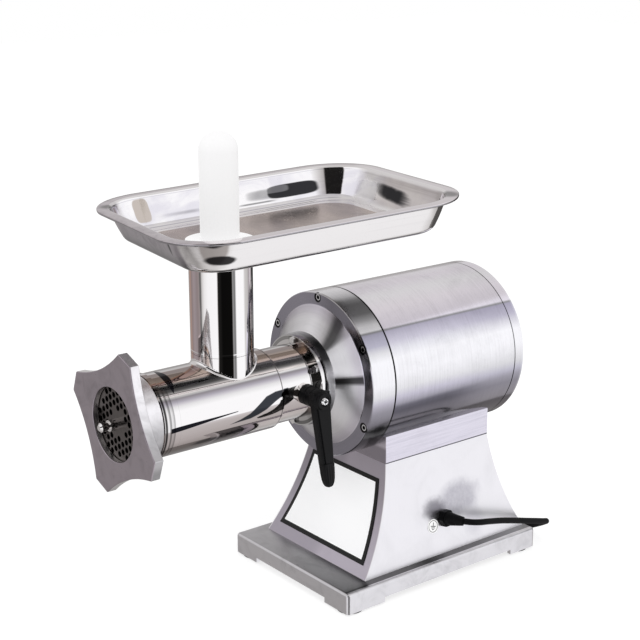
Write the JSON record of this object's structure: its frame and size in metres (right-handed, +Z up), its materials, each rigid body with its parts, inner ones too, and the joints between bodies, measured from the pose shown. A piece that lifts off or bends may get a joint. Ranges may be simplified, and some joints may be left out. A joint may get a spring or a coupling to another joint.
{
  "type": "electric meat grinder",
  "caption": "Bench-top electric meat grinder: geared motor housing on a flared pedestal, clamp-in screw barrel with perforated plate and star ring nut, feed tray and pusher.",
  "frame": {"origin": "on the table plane, under the centre of the base and of its four rubber feet", "axes": "-Y towards the outlet along the screw, +X towards the cord side, +Z up"},
  "size_m": [0.3218, 0.6144, 0.5141],
  "materials": {
    "cast_alloy": "cast, satin",
    "sheet_steel": "plain sheet",
    "zinc_screws": "bright plated",
    "foot_rubber": "matt",
    "pedestal_steel": "polished sheet",
    "label_white": "bare printed plate",
    "capacitor_can": "drawn can",
    "terminal_plastic": "moulded",
    "black_plastic": "moulded",
    "green_plastic": "moulded",
    "red_plastic": "moulded",
    "black_rubber": "matt",
    "plug_brass": "bright",
    "housing_aluminium": "turned, satin",
    "cover_aluminium": "turned, satin",
    "dark_screws": "blackened",
    "lamination_steel": "stacked sheet",
    "copper_winding": "varnished copper",
    "shaft_steel": "ground",
    "fan_plastic": "moulded",
    "bearing_steel": "ground",
    "gear_steel": "hobbed, oiled",
    "hub_satin": "dark satin",
    "polished_steel": "mirror polished",
    "lever_black": "satin",
    "auger_steel": "cast, tumbled",
    "blade_steel": "ground",
    "ring_satin": "blasted, bright edges",
    "pusher_white": "smooth"
  },
  "bodies": {
    "machine": {"base_plate": "cast_alloy", "bottom_cover": "sheet_steel", "capacitor_clip": "sheet_steel", "cover_screws": "zinc_screws", "rubber_feet": "foot_rubber", "pedestal": "pedestal_steel", "neck_saddle": "cast_alloy", "front_label_plate": "label_white", "earth_mark": "label_white", "capacitor": "capacitor_can", "terminal_block": "terminal_plastic", "switch_frame": "black_plastic", "mains_plug": "black_plastic", "cord_tie": "black_plastic", "cord_gland": "black_rubber", "mains_cord": "black_rubber", "cord_coil": "black_rubber", "front_gasket": "black_rubber", "rear_gasket": "black_rubber", "oil_seal": "black_rubber", "plug_pins": "plug_brass", "motor_housing": "housing_aluminium", "rear_cap": "housing_aluminium", "front_cover": "cover_aluminium", "gear_plate": "cover_aluminium", "front_cover_screws": "dark_screws", "rear_cap_screws": "dark_screws", "stator_core": "lamination_steel", "stator_windings": "copper_winding", "rotor_bearings": "bearing_steel", "countershaft_bearings": "bearing_steel", "output_bearings": "bearing_steel", "hub_ring": "hub_satin", "head_socket": "polished_steel", "socket_bolts": "polished_steel"},
    "rotor": {"rotor_core": "lamination_steel", "rotor_shaft": "shaft_steel", "cooling_fan": "fan_plastic"},
    "countershaft_set": {"countershaft": "shaft_steel", "countershaft_gear": "gear_steel"},
    "drive": {"output_shaft": "shaft_steel", "output_gear": "gear_steel"},
    "head": {"barrel": "polished_steel", "grinding_plate": "blade_steel", "plate_key": "zinc_screws"},
    "screw": {"auger": "auger_steel", "knife": "blade_steel"},
    "nut": {"ring_nut": "ring_satin"},
    "feed_tray": {"tray_tube": "polished_steel", "tray": "polished_steel"},
    "stomper": {"pusher": "pusher_white"},
    "lever": {"clamp_lever": "lever_black", "lever_stud": "zinc_screws", "lever_screw": "zinc_screws"},
    "start_button": {"on_button": "green_plastic"},
    "stop_button": {"off_button": "red_plastic"}
  },
  "joints": [
    {"name": "rotor_spin", "type": "hinge", "parent": "machine", "child": "rotor", "pos_m": [0, 0, 0.237], "axis": [0, -1, 0], "continuous": true},
    {"name": "countershaft_spin", "type": "hinge", "parent": "machine", "child": "countershaft_set", "pos_m": [0, 0, 0.1938], "axis": [0, -1, 0], "continuous": true},
    {"name": "drive_spin", "type": "hinge", "parent": "machine", "child": "drive", "pos_m": [0, 0, 0.237], "axis": [0, -1, 0], "continuous": true},
    {"name": "head_slide", "type": "slide", "parent": "machine", "child": "head", "axis": [0, -1, 0], "range_m": [0, 0.07]},
    {"name": "auger_spin", "type": "hinge", "parent": "head", "child": "screw", "pos_m": [0, 0, 0.237], "axis": [0, -1, 0], "continuous": true},
    {"name": "ring_nut_turn", "type": "hinge", "parent": "head", "child": "nut", "pos_m": [0, 0, 0.237], "axis": [0, -1, 0], "range_deg": [0, 180]},
    {"name": "tray_lift", "type": "slide", "parent": "head", "child": "feed_tray", "axis": [0, 0, 1], "range_m": [0, 0.06]},
    {"name": "pusher_lift", "type": "slide", "parent": "feed_tray", "child": "stomper", "axis": [0, 0, 1], "range_m": [0, 0.12]},
    {"name": "clamp_lever_turn", "type": "hinge", "parent": "machine", "child": "lever", "pos_m": [0.044, -0.1503, 0.237], "axis": [1, 0, 0], "range_deg": [-165, 15]},
    {"name": "start_press", "type": "slide", "parent": "machine", "child": "start_button", "axis": [0.9809, 0, -0.1945], "range_m": [0, 0.003], "stiffness_N_per_m": 250},
    {"name": "stop_press", "type": "slide", "parent": "machine", "child": "stop_button", "axis": [0.9809, 0, -0.1945], "range_m": [0, 0.003], "stiffness_N_per_m": 250}
  ],
  "couplings": [
    {"joint": "countershaft_spin", "follows": "rotor_spin", "ratio": -0.35},
    {"joint": "drive_spin", "follows": "rotor_spin", "ratio": 0.1225},
    {"joint": "auger_spin", "follows": "rotor_spin", "ratio": 0.1225}
  ]
}
